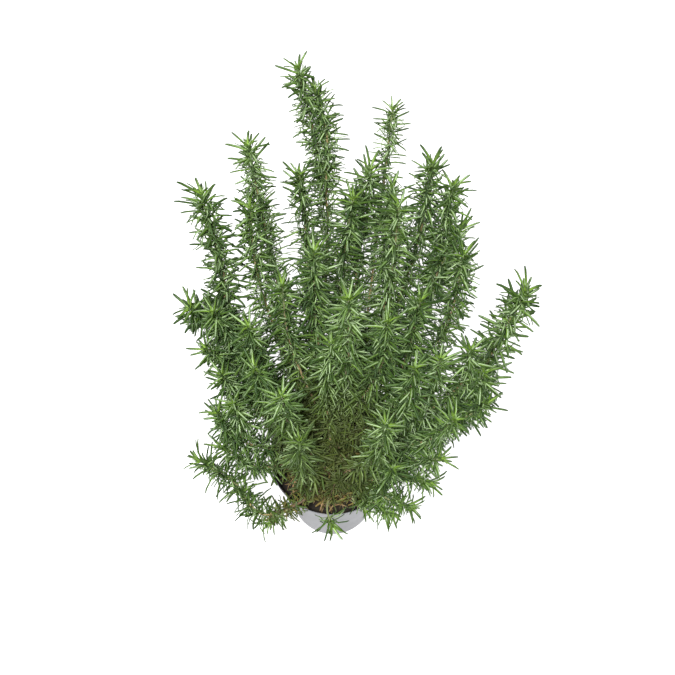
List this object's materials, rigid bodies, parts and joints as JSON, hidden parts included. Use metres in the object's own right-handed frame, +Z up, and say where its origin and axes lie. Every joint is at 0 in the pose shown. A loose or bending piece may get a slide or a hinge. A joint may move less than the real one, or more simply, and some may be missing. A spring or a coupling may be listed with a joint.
{
  "type": "potted rosemary plant",
  "caption": "Bushy rosemary plant with upright and trailing needle-leaved shoots on woody stems, growing in soil in a tapered round plastic nursery pot.",
  "frame": {"origin": "centre of the pot's flat underside, on the surface that it stands on", "axes": "+Z up along the pot's axis; the tallest shoots lean towards +Y, and the pot's front as pictured faces -Y"},
  "size_m": [0.3469, 0.3431, 0.4733],
  "materials": {
    "pot_plastic": "light grey plastic, black inside, softly glossy",
    "potting_soil": "moist dark brown peat with wood fibres, fallen needles and a thin olive moss",
    "woody_bark": "thin flaking grey-brown bark, redder and smoother on younger branches",
    "rosemary_leaf": "leathery dark green needles with a pale midline and a grey-green felted underside, yellow-green at the tips"
  },
  "bodies": {
    "root": {"pot": "pot_plastic", "soil": "potting_soil", "woody_stem_middle": "woody_bark", "woody_stem_left": "woody_bark", "woody_stem_back_left": "woody_bark", "woody_stem_back_right": "woody_bark", "woody_stem_right": "woody_bark", "woody_stem_front": "woody_bark", "leafy_shoot_back_tall": "rosemary_leaf", "leafy_shoot_back_inner": "rosemary_leaf", "leafy_shoot_back_left_high": "rosemary_leaf", "leafy_shoot_back_left_outer": "rosemary_leaf", "leafy_shoot_back_left_near": "rosemary_leaf", "leafy_shoot_back_right_high": "rosemary_leaf", "leafy_shoot_back_mid_right": "rosemary_leaf", "leafy_shoot_back_centre": "rosemary_leaf", "leafy_shoot_comb": "rosemary_leaf", "leafy_shoot_right_high": "rosemary_leaf", "leafy_shoot_right_high_outer": "rosemary_leaf", "leafy_shoot_right_upper": "rosemary_leaf", "leafy_shoot_right_far": "rosemary_leaf", "leafy_shoot_right_mid": "rosemary_leaf", "leafy_shoot_right_inner": "rosemary_leaf", "leafy_shoot_right_out": "rosemary_leaf", "leafy_shoot_front_right_high": "rosemary_leaf", "leafy_shoot_front_right_rosette": "rosemary_leaf", "leafy_shoot_front_right_low": "rosemary_leaf", "leafy_shoot_front_tall": "rosemary_leaf", "leafy_shoot_middle_left": "rosemary_leaf", "leafy_shoot_left_far": "rosemary_leaf", "leafy_shoot_left_far_near": "rosemary_leaf", "leafy_shoot_left_low_far": "rosemary_leaf", "leafy_shoot_left_mid": "rosemary_leaf", "leafy_shoot_left_front": "rosemary_leaf", "leafy_shoot_front_left_rosette": "rosemary_leaf", "leafy_shoot_left_low": "rosemary_leaf", "leafy_shoot_left_low_mid": "rosemary_leaf", "leafy_shoot_trail_left": "rosemary_leaf", "leafy_shoot_trail_front_left": "rosemary_leaf", "leafy_shoot_left_olive": "rosemary_leaf", "leafy_shoot_front_left_low": "rosemary_leaf", "leafy_shoot_trail_front": "rosemary_leaf", "leafy_shoot_trail_front_right": "rosemary_leaf", "leafy_shoot_trail_right_front": "rosemary_leaf", "leafy_shoot_trail_right": "rosemary_leaf", "leafy_shoot_right_low": "rosemary_leaf", "leafy_shoot_right_front_low": "rosemary_leaf", "leafy_shoot_right_front_mid": "rosemary_leaf", "leafy_shoot_front_right_short": "rosemary_leaf", "leafy_shoot_inner_left": "rosemary_leaf", "leafy_shoot_inner_mid": "rosemary_leaf", "leafy_shoot_inner_right": "rosemary_leaf"}
  },
  "joints": []
}
